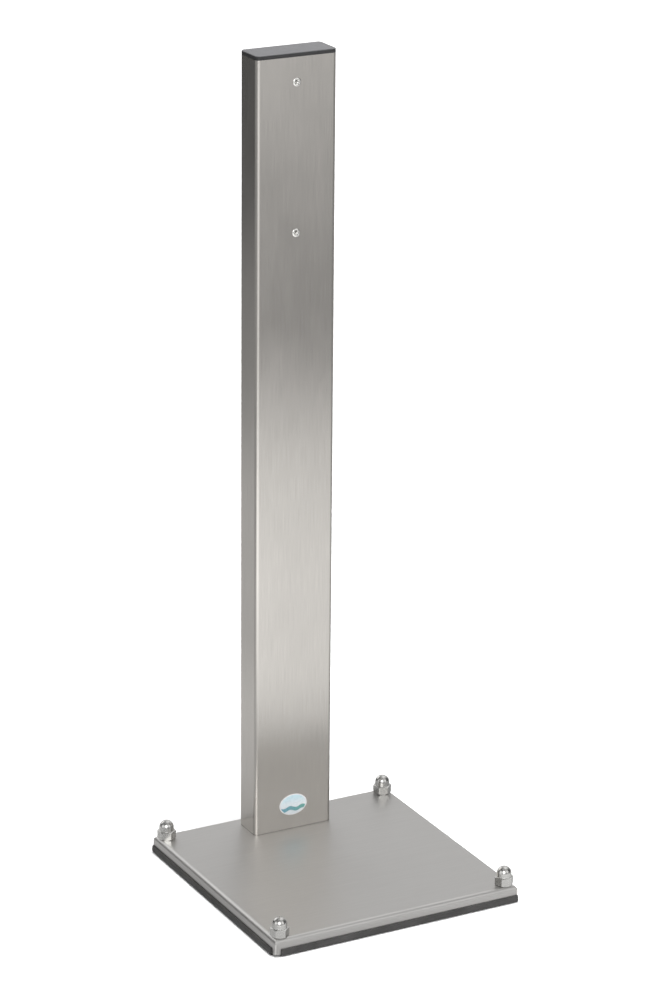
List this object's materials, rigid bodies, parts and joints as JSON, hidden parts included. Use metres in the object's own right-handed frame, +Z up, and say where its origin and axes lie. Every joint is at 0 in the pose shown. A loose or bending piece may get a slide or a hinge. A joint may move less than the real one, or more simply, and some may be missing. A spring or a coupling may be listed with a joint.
{
  "type": "free-standing mounting post",
  "caption": "Upright rectangular stainless tube on a weighted square tray base, with a flush end cap, rubber edge trim, domed corner nuts and threaded fixing points for a device.",
  "frame": {"origin": "centre of the footprint, on the floor under the edge trims", "axes": "+Z up along the post; +X along the post's wide front face, to the right seen from the front; -Y is the front, so the post stands near the +Y edge"},
  "size_m": [0.3146, 0.3146, 0.95],
  "materials": {
    "brushed_stainless": "satin, grain along the tube",
    "tray_stainless": "fine satin",
    "bright_stainless": "polished",
    "zinc_steel": "zinc plated",
    "black_plastic": "fine moulded texture",
    "black_rubber": "matt extruded",
    "label_film": "printed film"
  },
  "bodies": {
    "root": {"post_tube": "brushed_stainless", "top_cap": "black_plastic", "upper_rivet_nut": "bright_stainless", "lower_rivet_nut": "bright_stainless", "oval_label": "label_film", "foot_plate": "zinc_steel", "base_tray": "tray_stainless", "ballast_plate": "zinc_steel", "edge_trim_front": "black_rubber", "edge_trim_back": "black_rubber", "edge_trim_left": "black_rubber", "edge_trim_right": "black_rubber", "cap_nut_front_left": "bright_stainless", "cap_nut_front_right": "bright_stainless", "cap_nut_back_left": "bright_stainless", "cap_nut_back_right": "bright_stainless", "corner_stud_front_left": "zinc_steel", "corner_stud_front_right": "zinc_steel", "corner_stud_back_left": "zinc_steel", "corner_stud_back_right": "zinc_steel", "post_screw_front_left": "zinc_steel", "post_screw_front_right": "zinc_steel", "post_screw_back_left": "zinc_steel", "post_screw_back_right": "zinc_steel", "post_washer_front_left": "bright_stainless", "post_washer_front_right": "bright_stainless", "post_washer_back_left": "bright_stainless", "post_washer_back_right": "bright_stainless"}
  },
  "joints": []
}
